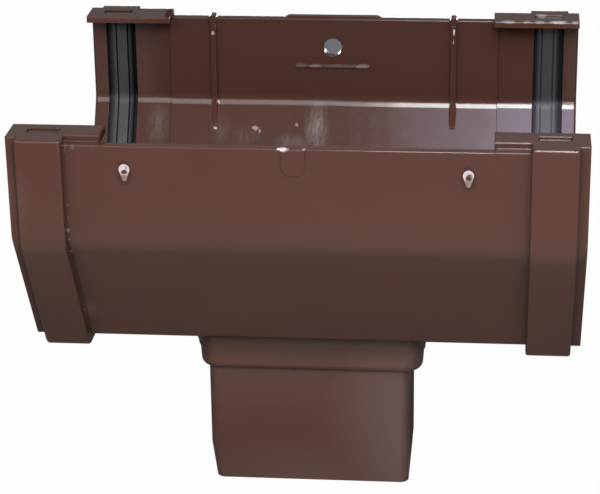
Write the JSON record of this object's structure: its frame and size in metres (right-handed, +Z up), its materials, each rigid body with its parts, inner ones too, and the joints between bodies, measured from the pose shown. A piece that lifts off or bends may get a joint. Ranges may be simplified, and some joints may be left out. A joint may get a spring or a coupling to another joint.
{
  "type": "gutter running outlet",
  "caption": "Brown plastic gutter outlet: a trapezoid trough with sealed, clipped sockets at both ends and a rectangular spigot below for a downpipe.",
  "frame": {"origin": "middle of the spigot's section, level with its lower rim", "axes": "+X along the gutter, -Y towards the viewer and away from the wall the gutter hangs on, +Z up"},
  "size_m": [0.2, 0.1738, 0.149],
  "materials": {
    "body": "satin moulded PVC",
    "seal": "smooth black rubber"
  },
  "bodies": {
    "root": {"outlet_body": "body", "seal_left": "seal", "seal_right": "seal"}
  },
  "joints": []
}
